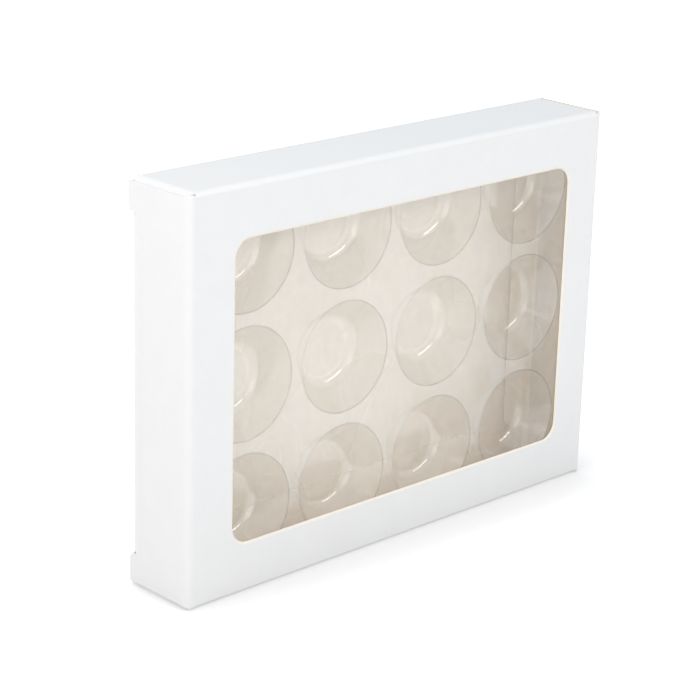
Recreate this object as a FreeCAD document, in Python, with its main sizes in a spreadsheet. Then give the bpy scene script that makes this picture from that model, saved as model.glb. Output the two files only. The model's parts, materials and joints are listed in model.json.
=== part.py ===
"""Window carton for chocolates, with a clear formed tray of twelve round cups.

The carton stands on its long side. X runs along its width, Y from the window panel to the back panel
and Z upwards. The origin is at the middle of the resting face. The tube of four panels is glued along
one seam, and each end is shut by a closure that hinges on the window panel, with a tuck flap on its
free edge and two dust flaps under it. All sizes are in millimetres, and angles in degrees.
"""
import FreeCAD, Part
import os
import re

import Sketcher

SIZES = {
    # Carton, outside
    "box_width": 180.0,
    "box_depth": 28.0,
    "box_height": 132.0,
    # Board and its folds
    "board": 0.5,
    "fold_radius": 1.0,
    "crease_gap": 0.05,
    "lap_gap": 0.2,
    # Window and the margins of board around it
    "window_left": 17.0,
    "window_right": 14.2,
    "window_top": 17.2,
    "window_bottom": 16.7,
    "window_corner": 6.0,
    # Film behind the window and its glue frame
    "film": 0.2,
    "film_lap": 8.0,
    "film_corner": 3.0,
    "adhesive": 0.1,
    "glue_inset": 1.5,
    # Glued seam of the tube
    "seam_width": 14.0,
    "seam_end": 4.0,
    "seam_setback": 0.5,
    # End closures and their locking ears
    "closure_inset": 1.2,
    "ear_height": 9.5,
    "ear_corner": 2.0,
    "tuck_setback": 2.0,
    "back_relief": 2.0,
    # Tuck flaps
    "tuck_length": 11.0,
    "tuck_tilt": 13.0,
    "tuck_corner": 5.0,
    "slit": 0.6,
    # Dust flaps
    "dust_length": 20.0,
    "dust_taper": 30.0,
    "dust_front_gap": 1.3,
    "dust_back_gap": 1.9,
    "dust_step": 3.5,
    "dust_corner": 3.0,
    # Tray
    "tray_wall": 0.4,
    "tray_setback": 6.4,
    "tray_end_gap": 0.9,
    "tray_top_gap": 0.6,
    "tray_back_gap": 0.8,
    "tray_flare": 1.7,
    "tray_corner": 5.0,
    "land_side": 2.6,
    "land_top": 0.8,
    # Cups of the tray
    "cup_columns": 4,
    "cup_rows": 3,
    "cup_land": 4.6,
    "cup_slope": 34.0,
    "cup_depth": 10.5,
    "cup_round": 2.5,
    "rim_bevel": 0.4,
}
LEFT, RIGHT = -1, 1
TOP, BOTTOM = 1, -1

doc = FreeCAD.newDocument("chocolate_box")
sheet = doc.addObject("Spreadsheet::Sheet", "Sizes")
for row, (name, number) in enumerate(SIZES.items(), start=1):
    sheet.set(f"A{row}", name)
    sheet.set(f"B{row}", str(number))
    sheet.setAlias(f"B{row}", name)
doc.recompute()
ALIASES = re.compile(r"\b(" + "|".join(SIZES) + r")\b")


def bind(text):
    """Gives an expression in which each size is read from the sheet."""
    return ALIASES.sub(r"Sizes.\1", text)


def value(text):
    """Works out an expression, for the first position of a point in a sketch."""
    return float(sheet.evalExpression(bind(text)))


# Places that several pieces share, as expressions of the sizes
FRONT = "(-box_depth / 2)"
BACK = "(box_depth / 2)"
INNER_RADIUS = "(fold_radius - board)"
CREASE_RADIUS = "(fold_radius + crease_gap)"
HINGE_X = "(box_width / 2 - fold_radius)"
HINGE_Y = "(-box_depth / 2 + fold_radius)"
DUST_X = "(box_width / 2 - board - lap_gap - fold_radius)"
SEAM_Y = "(box_depth / 2 - board - adhesive)"
TUCK_Y = "(box_depth / 2 - tuck_setback - fold_radius)"
EAR_LOW = "(closure_inset + ear_height)"
EAR_HIGH = "(box_height - closure_inset - ear_height)"
FILM_Y = "(-box_depth / 2 + board + adhesive)"
WINDOW_X = ("(-box_width / 2 + window_left)", "(box_width / 2 - window_right)")
WINDOW_Z = ("window_bottom", "(box_height - window_top)")


def new_body(label):
    """Starts a sub-part."""
    body = doc.addObject("PartDesign::Body", label)
    body.Label = label
    return body


def origin_feature(body, role):
    """Finds one of a body's own origin planes or axes."""
    return next(item for item in body.Origin.OriginFeatures if item.Role == role)


def new_sketch(body, plane, name, along="0"):
    """Lays a sketch on one of a body's own origin planes, moved along the plane's normal."""
    sketch = body.newObject("Sketcher::SketchObject", name)
    sketch.AttachmentSupport = [(origin_feature(body, plane), "")]
    sketch.MapMode = "FlatFace"
    sketch.setExpression("AttachmentOffset.Base.z", bind(along))
    return sketch


def pin(sketch, geometry, point, kind, text):
    """Holds one coordinate of a sketch point at an expression."""
    index = sketch.addConstraint(Sketcher.Constraint(kind, -1, 1, geometry, point, value(text)))
    sketch.setExpression(f"Constraints[{index}]", bind(text))


def outline(sketch, start, *steps):
    """Draws a closed outline from start.

    A step is (x, y) for a straight line to that point, or (x, y, centre_x, centre_y) for an arc of less
    than a half circle to that point. The last step is a line, which closes the outline.
    """
    here = FreeCAD.Vector(value(start[0]), value(start[1]), 0)
    before = None
    first = None
    for number, step in enumerate(steps):
        there = FreeCAD.Vector(value(step[0]), value(step[1]), 0)
        if len(step) == 2:
            geometry = sketch.addGeometry(Part.LineSegment(here, there), False)
            begin, end = 1, 2
        else:
            geometry, begin, end = add_arc(sketch, here, there, step[2:])
        if before is None:
            first = (geometry, begin)
            pin(sketch, geometry, begin, "DistanceX", start[0])
            pin(sketch, geometry, begin, "DistanceY", start[1])
        else:
            sketch.addConstraint(Sketcher.Constraint("Coincident", *before, geometry, begin))
        if number == len(steps) - 1:
            sketch.addConstraint(Sketcher.Constraint("Coincident", geometry, end, *first))
        elif len(step) == 2:
            pin(sketch, geometry, end, "DistanceX", step[0])
            pin(sketch, geometry, end, "DistanceY", step[1])
        else:
            arm = there - FreeCAD.Vector(value(step[2]), value(step[3]), 0)
            level = abs(arm.x) > abs(arm.y)
            pin(sketch, geometry, end, "DistanceY" if level else "DistanceX", step[1 if level else 0])
        before = (geometry, end)
        here = there


def add_arc(sketch, here, there, centre):
    """Adds an arc from here to there round a centre, and says which of its ends is which."""
    middle = FreeCAD.Vector(value(centre[0]), value(centre[1]), 0)
    arms = [here - middle, there - middle]
    turns_left = arms[0].cross(arms[1]).z > 0
    angles = [FreeCAD.Vector(1, 0, 0).getAngle(arm) * (1 if arm.y >= 0 else -1) for arm in arms]
    if not turns_left:
        angles.reverse()
    whole = Part.Circle(middle, FreeCAD.Vector(0, 0, 1), arms[0].Length)
    geometry = sketch.addGeometry(Part.ArcOfCircle(whole, *angles), False)
    pin(sketch, geometry, 3, "DistanceX", centre[0])
    pin(sketch, geometry, 3, "DistanceY", centre[1])
    return (geometry, 1, 2) if turns_left else (geometry, 2, 1)


def circle(sketch, x, y, radius):
    """Draws a full circle."""
    middle = FreeCAD.Vector(value(x), value(y), 0)
    geometry = sketch.addGeometry(Part.Circle(middle, FreeCAD.Vector(0, 0, 1), value(radius)), False)
    pin(sketch, geometry, 3, "DistanceX", x)
    pin(sketch, geometry, 3, "DistanceY", y)
    index = sketch.addConstraint(Sketcher.Constraint("Radius", geometry, value(radius)))
    sketch.setExpression(f"Constraints[{index}]", bind(radius))


def rounded_rectangle(sketch, xs, ys, radius):
    """Draws a rectangle with round corners between two x and two y positions."""
    x0, x1 = xs
    y0, y1 = ys
    x0_in, x1_in = f"({x0} + {radius})", f"({x1} - {radius})"
    y0_in, y1_in = f"({y0} + {radius})", f"({y1} - {radius})"
    outline(
        sketch,
        (x1_in, y0),
        (x1, y0_in, x1_in, y0_in),
        (x1, y1_in),
        (x1_in, y1, x1_in, y1_in),
        (x0_in, y1),
        (x0, y1_in, x0_in, y1_in),
        (x0, y0_in),
        (x0_in, y0, x0_in, y0_in),
        (x1_in, y0),
    )


def pad(body, sketch, length, name, reverse=False, both_ways=False):
    """Raises a sketch into a solid."""
    feature = body.newObject("PartDesign::Pad", name)
    feature.Profile = (sketch, [""])
    feature.SideType = "Symmetric" if both_ways else "One side"
    feature.Reversed = reverse
    feature.setExpression("Length", bind(length))
    return feature


def pocket(body, sketch, name, length=None, reverse=False):
    """Cuts a sketch out of a body: through all of it both ways, or to a length on one side."""
    feature = body.newObject("PartDesign::Pocket", name)
    feature.Profile = (sketch, [""])
    if length is None:
        feature.SideType = "Symmetric"
        feature.Type = "ThroughAll"
    else:
        feature.Reversed = reverse
        feature.setExpression("Length", bind(length))
    return feature


def crease_reach(face_radius):
    """How far a crease's clearance circle reaches along a panel face at a distance from its axis."""
    return f"sqrt({CREASE_RADIUS}^2 - {face_radius}^2)"


def front_panel():
    """The window panel. Each end stops round the crease of its closure."""
    body = new_body("front_panel")
    section = new_sketch(body, "XY_Plane", "front_section", "fold_radius")
    inner_y = f"({FRONT} + board)"
    outer_end = f"({HINGE_X} - {crease_reach('fold_radius')})"
    inner_end = f"({HINGE_X} - {crease_reach(INNER_RADIUS)})"
    outline(
        section,
        (f"-{inner_end}", inner_y),
        (f"-{outer_end}", FRONT, f"-{HINGE_X}", HINGE_Y),
        (outer_end, FRONT),
        (inner_end, inner_y, HINGE_X, HINGE_Y),
        (f"-{inner_end}", inner_y),
    )
    pad(body, section, "box_height - 2 * fold_radius", "front_sheet")
    window = new_sketch(body, "XZ_Plane", "window_outline")
    rounded_rectangle(window, WINDOW_X, WINDOW_Z, "window_corner")
    pocket(body, window, "window")
    return body


def end_creases(body, name, height):
    """Rounds both ends of a panel off, clear of the creases of its dust flaps."""
    ends = new_sketch(body, "XZ_Plane", name + "_crease_outline")
    for side in (LEFT, RIGHT):
        circle(ends, f"{side} * {DUST_X}", height, CREASE_RADIUS)
    pocket(body, ends, name + "_creases")


def top_panel():
    """The top panel, with the rounded folds to the window panel and the back panel."""
    body = new_body("top_panel")
    section = new_sketch(body, "YZ_Plane", "top_section")
    fold_z = "(box_height - fold_radius)"
    front_fold = (f"({FRONT} + fold_radius)", fold_z)
    back_fold = (f"({BACK} - fold_radius)", fold_z)
    under = "(box_height - board)"
    outline(
        section,
        (FRONT, fold_z),
        (front_fold[0], "box_height", *front_fold),
        (back_fold[0], "box_height"),
        (BACK, fold_z, *back_fold),
        (f"({BACK} - board)", fold_z),
        (back_fold[0], under, *back_fold),
        (front_fold[0], under),
        (f"({FRONT} + board)", fold_z, *front_fold),
        (FRONT, fold_z),
    )
    pad(body, section, f"2 * {DUST_X}", "top_sheet", both_ways=True)
    end_creases(body, "top", fold_z)
    return body


def bottom_panel():
    """The bottom panel, with the folds to the window panel and to the glue flap."""
    body = new_body("bottom_panel")
    section = new_sketch(body, "YZ_Plane", "bottom_section")
    front_fold = (f"({FRONT} + fold_radius)", "fold_radius")
    back_fold = (f"({SEAM_Y} - fold_radius)", "fold_radius")
    outline(
        section,
        (FRONT, "fold_radius"),
        (front_fold[0], "0", *front_fold),
        (back_fold[0], "0"),
        (SEAM_Y, "fold_radius", *back_fold),
        (f"({SEAM_Y} - board)", "fold_radius"),
        (back_fold[0], "board", *back_fold),
        (front_fold[0], "board"),
        (f"({FRONT} + board)", "fold_radius", *front_fold),
        (FRONT, "fold_radius"),
    )
    pad(body, section, f"2 * {DUST_X}", "bottom_sheet", both_ways=True)
    end_creases(body, "bottom", "fold_radius")
    return body


def back_panel():
    """The back panel. Between the ears each end stands back, so that the tuck flap can swing out."""
    body = new_body("back_panel")
    sheet_outline = new_sketch(body, "XZ_Plane", "back_outline", f"-{BACK}")
    end = "(box_width / 2 - board - lap_gap)"
    relief = f"({end} - back_relief)"
    top = "(box_height - fold_radius)"
    low, high = f"({EAR_LOW} + back_relief)", f"({EAR_HIGH} - back_relief)"
    outline(
        sheet_outline,
        (f"-{end}", "seam_setback"),
        (end, "seam_setback"),
        (end, EAR_LOW),
        (relief, low),
        (relief, high),
        (end, EAR_HIGH),
        (end, top),
        (f"-{end}", top),
        (f"-{end}", EAR_HIGH),
        (f"-{relief}", high),
        (f"-{relief}", low),
        (f"-{end}", EAR_LOW),
        (f"-{end}", "seam_setback"),
    )
    pad(body, sheet_outline, "board", "back_sheet")
    return body


def seam_piece(label, y, thickness, inset):
    """A flat piece of the glued seam, with its ends cut at 45 degrees."""
    body = new_body(label)
    strip = new_sketch(body, "XZ_Plane", label + "_outline", f"-{y}")
    low, high = f"(fold_radius + {inset})", f"(seam_width - {inset})"
    long_end = f"(box_width / 2 - seam_end - 2 * {inset})"
    short_end = f"({long_end} - {high} + {low})"
    outline(
        strip,
        (f"-{long_end}", low),
        (long_end, low),
        (short_end, high),
        (f"-{short_end}", high),
        (f"-{long_end}", low),
    )
    pad(body, strip, thickness, label + "_sheet")
    return body


def window_film():
    """The clear film behind the window."""
    body = new_body("window_film")
    edge = new_sketch(body, "XZ_Plane", "film_outline", f"-{FILM_Y}")
    xs = (f"({WINDOW_X[0]} - film_lap)", f"({WINDOW_X[1]} + film_lap)")
    zs = (f"({WINDOW_Z[0]} - film_lap)", f"({WINDOW_Z[1]} + film_lap)")
    rounded_rectangle(edge, xs, zs, "film_corner")
    pad(body, edge, "film", "film_sheet", reverse=True)
    return body


def window_adhesive():
    """The glue frame between the film and the window panel."""
    body = new_body("window_adhesive")
    frame = new_sketch(body, "XZ_Plane", "glue_outline", f"-{FILM_Y}")
    for reach, corner in (("film_lap - glue_inset", "film_corner"), ("glue_inset", "window_corner")):
        xs = (f"({WINDOW_X[0]} - ({reach}))", f"({WINDOW_X[1]} + {reach})")
        zs = (f"({WINDOW_Z[0]} - ({reach}))", f"({WINDOW_Z[1]} + {reach})")
        rounded_rectangle(frame, xs, zs, corner)
    pad(body, frame, "adhesive", "glue_frame")
    return body


# Tray: the free edge of its skirt, its face and its cups
TRAY_FRONT = "(-box_depth / 2 + tray_setback)"
TRAY_BACK = f"({TUCK_Y} - tuck_length * sin(tuck_tilt) + {INNER_RADIUS} * cos(tuck_tilt) - tray_back_gap)"
TRAY_X = "(box_width / 2 - 2 * board - lap_gap - tray_end_gap)"
TRAY_LOW = "board"
TRAY_HIGH = "(box_height - board - tray_top_gap)"
PITCH_X = f"(2 * ({TRAY_X} - tray_flare - land_side) / cup_columns)"
PITCH_Z = f"(({TRAY_HIGH} - {TRAY_LOW} - 2 * tray_flare - 2 * land_top) / cup_rows)"
RIM_RADIUS = f"((min({PITCH_X}; {PITCH_Z}) - cup_land) / 2)"


def tray_section(body, name, y, inset):
    """A cross-section of the tray's skirt, inset from its free edge."""
    section = new_sketch(body, "XZ_Plane", name, f"-{y}")
    xs = (f"(-{TRAY_X} + {inset})", f"({TRAY_X} - {inset})")
    zs = (f"({TRAY_LOW} + {inset})", f"({TRAY_HIGH} - {inset})")
    rounded_rectangle(section, xs, zs, f"(tray_corner - {inset})")
    return section


def cup_profile(body, name, skin):
    """Half the profile of one cup, with depth along the sketch and the radius across it.

    skin is how far the surface lies outside the cup's inside. One bevel, tangent to the cup's round bend,
    leads from the wall to the floor.
    """
    profile = body.newObject("Sketcher::SketchObject", name)
    profile.AttachmentSupport = [(origin_feature(body, "YZ_Plane"), "")]
    profile.MapMode = "FlatFace"
    profile.setExpression("AttachmentOffset.Base.x", bind(TRAY_FRONT))
    lowest_row = f"{TRAY_LOW} + tray_flare + land_top + {PITCH_Z} / 2"
    first_column = f"-(cup_columns - 1) / 2 * {PITCH_X}"
    profile.setExpression("AttachmentOffset.Base.y", bind(lowest_row))
    profile.setExpression("AttachmentOffset.Base.z", bind(first_column))
    floor_radius = f"({RIM_RADIUS} - cup_depth * tan(cup_slope))"
    tangent = "(cup_round * tan((90 - cup_slope) / 2))"
    centre = ("(cup_depth - cup_round)", f"({floor_radius} - {tangent})")
    bend = f"(cup_round + {skin})"
    reach = f"({bend} * tan((90 - cup_slope) / 4))"
    wall_end = (
        f"({centre[0]} + {bend} * sin(cup_slope) + {reach} * cos(cup_slope))",
        f"({centre[1]} + {bend} * cos(cup_slope) - {reach} * sin(cup_slope))",
    )
    floor_end = (f"(cup_depth + {skin})", f"({centre[1]} + {reach})")
    return profile, wall_end, floor_end


def cup_outside(body):
    """The outside of the first cup, down from the tray's face."""
    profile, wall_end, floor_end = cup_profile(body, "cup_outside_profile", "tray_wall")
    mouth = f"({RIM_RADIUS} + tray_wall / cos(cup_slope))"
    outline(
        profile,
        ("0", "0"),
        ("0", mouth),
        wall_end,
        floor_end,
        (floor_end[0], "0"),
        ("0", "0"),
    )
    cup = body.newObject("PartDesign::Revolution", "cup_outside")
    cup.Profile = (profile, [""])
    cup.ReferenceAxis = (profile, ["H_Axis"])
    return cup


def cup_inside(body):
    """The hollow of the first cup, with its bevelled rim."""
    profile, wall_end, floor_end = cup_profile(body, "cup_inside_profile", "0")
    rim_start = f"({RIM_RADIUS} + rim_bevel)"
    rim_end = ("(rim_bevel * cos(cup_slope))", f"({RIM_RADIUS} - rim_bevel * sin(cup_slope))")
    above = "(-tray_wall)"
    outline(
        profile,
        (above, "0"),
        (above, rim_start),
        ("0", rim_start),
        rim_end,
        wall_end,
        floor_end,
        (floor_end[0], "0"),
        (above, "0"),
    )
    hollow = body.newObject("PartDesign::Groove", "cup_inside")
    hollow.Profile = (profile, [""])
    hollow.ReferenceAxis = (profile, ["H_Axis"])
    return hollow


def cup_pattern(body, cup, name):
    """Repeats one cup over the columns and rows of the tray."""
    pattern = body.newObject("PartDesign::LinearPattern", name)
    pattern.Originals = [cup]
    pattern.Direction = (origin_feature(body, "X_Axis"), [""])
    pattern.Direction2 = (origin_feature(body, "Z_Axis"), [""])
    pattern.setExpression("Length", bind(f"{PITCH_X} * (cup_columns - 1)"))
    pattern.setExpression("Length2", bind(f"{PITCH_Z} * (cup_rows - 1)"))
    pattern.setExpression("Occurrences", bind("cup_columns"))
    pattern.setExpression("Occurrences2", bind("cup_rows"))
    body.Tip = pattern
    doc.recompute()
    return pattern


def insert_tray():
    """The clear tray: a face with a flared skirt all round, and cups sunk into the face."""
    body = new_body("insert_tray")
    block = body.newObject("PartDesign::AdditiveLoft", "tray_block")
    block.Profile = (tray_section(body, "tray_face_outline", TRAY_FRONT, "tray_flare"), [""])
    block.Sections = [(tray_section(body, "tray_edge_outline", TRAY_BACK, "0"), [""])]
    block.Ruled = True
    hollow = body.newObject("PartDesign::SubtractiveLoft", "tray_hollow")
    under_face = f"({TRAY_FRONT} + tray_wall)"
    hollow.Profile = (tray_section(body, "under_face_outline", under_face, "(tray_flare + tray_wall)"), [""])
    hollow.Sections = [(tray_section(body, "hollow_edge_outline", TRAY_BACK, "tray_wall"), [""])]
    hollow.Ruled = True
    doc.recompute()
    cup_pattern(body, cup_outside(body), "cups_outside")
    cup_pattern(body, cup_inside(body), "cups_inside")
    return body


def closure(label, side):
    """An end panel with its crease to the window panel and a locking ear at each end of its free edge."""
    body = new_body(label)
    section = new_sketch(body, "XY_Plane", label + "_section", "closure_inset")
    hinge_x = f"({side} * {HINGE_X})"
    outer, inner = f"({side} * box_width / 2)", f"({side} * (box_width / 2 - board))"
    outline(
        section,
        (hinge_x, f"({FRONT} + board)"),
        (inner, HINGE_Y, hinge_x, HINGE_Y),
        (inner, BACK),
        (outer, BACK),
        (outer, HINGE_Y),
        (hinge_x, FRONT, hinge_x, HINGE_Y),
        (hinge_x, f"({FRONT} + board)"),
    )
    pad(body, section, "box_height - 2 * closure_inset", label + "_sheet")
    notch = new_sketch(body, "YZ_Plane", label + "_notch_outline")
    beyond = f"({BACK} + board)"
    corner_y = f"({BACK} - ear_corner)"
    low, high = f"({EAR_LOW} - ear_corner)", f"({EAR_HIGH} + ear_corner)"
    outline(
        notch,
        (TUCK_Y, EAR_LOW),
        (corner_y, EAR_LOW),
        (BACK, low, corner_y, low),
        (beyond, low),
        (beyond, high),
        (BACK, high),
        (corner_y, EAR_HIGH, corner_y, high),
        (TUCK_Y, EAR_HIGH),
        (TUCK_Y, EAR_LOW),
    )
    pocket(body, notch, label + "_notch")
    crease = new_sketch(body, "XY_Plane", label + "_crease_outline", EAR_LOW)
    circle(crease, hinge_x, TUCK_Y, CREASE_RADIUS)
    pocket(body, crease, label + "_crease", f"{EAR_HIGH} - {EAR_LOW}", reverse=True)
    return body


def tuck_flap(label, side):
    """A tuck flap, drawn round its own crease and then set on the closure at its tilt."""
    body = new_body(label)
    body.setExpression("Placement.Base.x", bind(f"{side} * {HINGE_X}"))
    body.setExpression("Placement.Base.y", bind(TUCK_Y))
    body.Placement.Rotation = FreeCAD.Rotation(FreeCAD.Vector(0, 0, 1), side * value("tuck_tilt"))
    body.setExpression("Placement.Rotation.Angle", bind(f"{side} * tuck_tilt"))
    low, high = f"({EAR_LOW} + slit)", f"({EAR_HIGH} - slit)"
    section = new_sketch(body, "XY_Plane", label + "_section", low)
    tip = f"({-side} * tuck_length)"
    along, across = f"({side} * cos(tuck_tilt))", "(-sin(tuck_tilt))"
    outline(
        section,
        (f"{along} * {INNER_RADIUS}", f"{across} * {INNER_RADIUS}"),
        ("0", INNER_RADIUS, "0", "0"),
        (tip, INNER_RADIUS),
        (tip, "fold_radius"),
        ("0", "fold_radius"),
        (f"{along} * fold_radius", f"{across} * fold_radius", "0", "0"),
        (f"{along} * {INNER_RADIUS}", f"{across} * {INNER_RADIUS}"),
    )
    pad(body, section, f"{high} - {low}", label + "_sheet")
    corners = new_sketch(body, "XZ_Plane", label + "_corner_outline")
    corner_x = f"({-side} * (tuck_length - tuck_corner))"
    for end, towards in ((low, 1), (high, -1)):
        corner_z = f"({end} + {towards} * tuck_corner)"
        outline(
            corners,
            (tip, corner_z),
            (corner_x, end, corner_x, corner_z),
            (tip, end),
            (tip, corner_z),
        )
    pocket(body, corners, label + "_corners")
    return body


def dust_flap(label, side, level):
    """A side flap under a closure. Its front edge slants away from the closure's crease."""
    body = new_body(label)
    axis_x = f"({side} * {DUST_X})"
    axis_z = "(box_height - fold_radius)" if level == TOP else "fold_radius"
    front, back = f"({FRONT} + dust_front_gap)", f"({BACK} - dust_back_gap)"
    fold = new_sketch(body, "XZ_Plane", label + "_fold_section", f"-{front}")
    outline(
        fold,
        (axis_x, f"({axis_z} + {level} * {INNER_RADIUS})"),
        (f"({axis_x} + {side} * {INNER_RADIUS})", axis_z, axis_x, axis_z),
        (f"({axis_x} + {side} * fold_radius)", axis_z),
        (axis_x, f"({axis_z} + {level} * fold_radius)", axis_x, axis_z),
        (axis_x, f"({axis_z} + {level} * {INNER_RADIUS})"),
    )
    pad(body, fold, f"{back} - {front}", label + "_fold", reverse=True)
    sheet_outline = new_sketch(body, "YZ_Plane", label + "_outline", f"{axis_x} + {side} * fold_radius")
    tip_z = f"({axis_z} - {level} * dust_length)"
    lock_z = f"({axis_z} - {level} * (ear_height + closure_inset - fold_radius - slit))"
    stepped = f"({back} - dust_step)"
    outline(
        sheet_outline,
        (front, axis_z),
        (f"({front} + dust_length * tan(dust_taper))", tip_z),
        (f"({stepped} - dust_corner)", tip_z),
        (
            stepped,
            f"({tip_z} + {level} * dust_corner)",
            f"({stepped} - dust_corner)",
            f"({tip_z} + {level} * dust_corner)",
        ),
        (stepped, lock_z),
        (back, lock_z),
        (back, axis_z),
        (front, axis_z),
    )
    pad(body, sheet_outline, "board", label + "_sheet", reverse=side == RIGHT)
    return body


def build():
    """Makes every sub-part."""
    parts = [front_panel(), top_panel(), back_panel(), bottom_panel()]
    parts.append(seam_piece("glue_flap", SEAM_Y, "board", "0"))
    parts.append(seam_piece("seam_adhesive", f"({SEAM_Y} + adhesive)", "adhesive", "glue_inset"))
    parts += [window_film(), window_adhesive(), insert_tray()]
    for end, side in (("left", LEFT), ("right", RIGHT)):
        parts.append(closure(f"{end}_closure", side))
        parts.append(tuck_flap(f"{end}_tuck_flap", side))
        parts.append(dust_flap(f"{end}_top_dust_flap", side, TOP))
        parts.append(dust_flap(f"{end}_bottom_dust_flap", side, BOTTOM))
    doc.recompute()
    return parts


def check(parts):
    """Stops if any object failed or any sub-part is not one valid solid."""
    for item in doc.Objects:
        if "Invalid" in item.State or "Error" in item.State:
            raise RuntimeError(f"{item.Label} failed: {item.State}")
    for part in parts:
        shape = part.Shape
        if shape.isNull() or not shape.isValid() or len(shape.Solids) != 1:
            raise RuntimeError(f"{part.Label} is not one valid solid")


parts = build()
check(parts)
os.makedirs("parts", exist_ok=True)
for part in parts:
    part.Shape.exportStep(f"parts/{part.Label}.step")
    print(part.Label, round(part.Shape.Volume, 2), part.Shape.BoundBox)
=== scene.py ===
"""The looks of a white window carton for chocolates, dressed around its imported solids.

Lengths are in metres. X runs along the carton, Y from the window to the back panel, Z upwards.
Every board piece is drawn flat and folded: s runs along its cross-section and t along its creases.
"""
import cmath
import json
import math
from collections import namedtuple

import bmesh
import bpy
from mathutils import Matrix, Vector


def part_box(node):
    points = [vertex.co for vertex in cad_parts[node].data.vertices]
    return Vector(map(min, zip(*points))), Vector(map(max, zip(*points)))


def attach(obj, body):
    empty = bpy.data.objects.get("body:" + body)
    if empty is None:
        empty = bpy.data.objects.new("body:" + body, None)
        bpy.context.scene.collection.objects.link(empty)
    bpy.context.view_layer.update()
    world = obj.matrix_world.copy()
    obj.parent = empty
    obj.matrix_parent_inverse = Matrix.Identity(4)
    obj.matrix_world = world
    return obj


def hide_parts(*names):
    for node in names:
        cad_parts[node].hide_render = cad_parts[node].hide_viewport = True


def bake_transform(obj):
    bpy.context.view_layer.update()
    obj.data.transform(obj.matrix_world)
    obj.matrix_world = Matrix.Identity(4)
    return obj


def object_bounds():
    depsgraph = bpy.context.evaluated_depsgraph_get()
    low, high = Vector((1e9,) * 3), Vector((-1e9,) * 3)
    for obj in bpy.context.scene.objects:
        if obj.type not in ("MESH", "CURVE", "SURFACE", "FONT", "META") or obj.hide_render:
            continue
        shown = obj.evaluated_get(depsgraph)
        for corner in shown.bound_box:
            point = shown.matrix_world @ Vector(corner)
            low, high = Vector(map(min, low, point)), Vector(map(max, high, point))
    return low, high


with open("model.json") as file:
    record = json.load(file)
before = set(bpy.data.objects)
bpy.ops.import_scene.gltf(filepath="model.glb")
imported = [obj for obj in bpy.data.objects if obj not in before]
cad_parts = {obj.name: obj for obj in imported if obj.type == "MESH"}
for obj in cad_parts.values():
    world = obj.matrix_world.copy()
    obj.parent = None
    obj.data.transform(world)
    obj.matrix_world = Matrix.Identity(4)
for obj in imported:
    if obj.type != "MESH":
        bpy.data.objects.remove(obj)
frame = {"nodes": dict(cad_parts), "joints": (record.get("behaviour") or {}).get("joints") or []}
CAD_LOW, CAD_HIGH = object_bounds()
MM = 0.001
QUARTER_TURN = math.pi / 2
WHITE = (1.0, 1.0, 1.0)

# Sizes of the carton, read from its solids
HALF = CAD_HIGH.x
FRONT, BACK = CAD_LOW.y, CAD_HIGH.y
TOP = CAD_HIGH.z
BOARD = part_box("front_panel")[1].y - FRONT
CLOSURE_LOW, CLOSURE_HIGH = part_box("left_closure")[0].z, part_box("left_closure")[1].z
TUCK_LOW, TUCK_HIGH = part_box("left_tuck_flap")[0].z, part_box("left_tuck_flap")[1].z
TUCK_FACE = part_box("left_tuck_flap")[1].y
DUST_LOW, DUST_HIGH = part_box("left_top_dust_flap")
GLUE_LOW, GLUE_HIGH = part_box("glue_flap")
BACK_LOW, BACK_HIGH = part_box("back_panel")
TRAY_LOW, TRAY_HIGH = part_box("insert_tray")
FILM_LOW, FILM_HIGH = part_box("window_film")
HINGES = {joint["name"]: Vector(joint["pos_m"]) for joint in frame["joints"]}

# Details of the board, as in the part's source. FOLD is the outer radius of its folds
FOLD = 1.5 * MM
FILM_LAP = 8.0 * MM
WINDOW_CORNER = 6.0 * MM
EAR_HEIGHT, EAR_CORNER = 9.5 * MM, 2.0 * MM
EAR_LOW, EAR_HIGH = CLOSURE_LOW + EAR_HEIGHT, CLOSURE_HIGH - EAR_HEIGHT
TUCK_TILT = math.radians(13)
TUCK_LENGTH, TUCK_CORNER = 11.0 * MM, 5.0 * MM
DUST_TAPER = math.tan(math.radians(30))
DUST_STEP, DUST_CORNER = 3.5 * MM, 3.0 * MM
LOCK_SLIT = 0.6 * MM

# How far the board of each end springs out past its solids, with its front fold and its lower edge
END_BOW = {"left": 1.4 * MM, "right": 1.0 * MM}
END_FOLD = {"left": 2.5 * MM, "right": 1.5 * MM}
CLOSURE_EDGE = {"left": CLOSURE_LOW, "right": 0.3 * MM}
# How far a closure's edges lie in at its root, and a third of the way round its fold
CLOSURE_ROOT, CLOSURE_RISE, RISE_PART = 0.9 * MM, 0.5 * MM, 3
# How far the back panel's ends are cut back between the ears, less than in the solids
BACK_RELIEF, RELIEF_SLANT = {"left": 1.4 * MM, "right": 1.0 * MM}, 0.4 * MM
# The tongue of a tuck flap: its straight root, and the turn and radius of its curl to the back panel
TUCK_ROOT = 1.0 * MM
TUCK_SPRING, TUCK_CURL = math.radians(26), 10.0 * MM
# Gaps beside the tuck flap's root and between a closure and the dust flaps under it
TUCK_SLIT, LAP_GAP = 0.15 * MM, 0.15 * MM
# How far out the dust flaps' folds start, and how far in their roots lie over which share of a fold
DUST_LEAD = 0.15 * MM
DUST_FACE = DUST_LEAD - DUST_LOW.x
FOLD_CORNER, DUST_ROOT = 0.7 * MM, 0.3
# Share of the tube's folds that is as wide as the window panel
FOLD_TAB = 0.6
# Swelling of the panels, and slant of the window's cut edge
SWELL, WINDOW_SLANT = 0.25 * MM, 0.7 * MM

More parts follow.
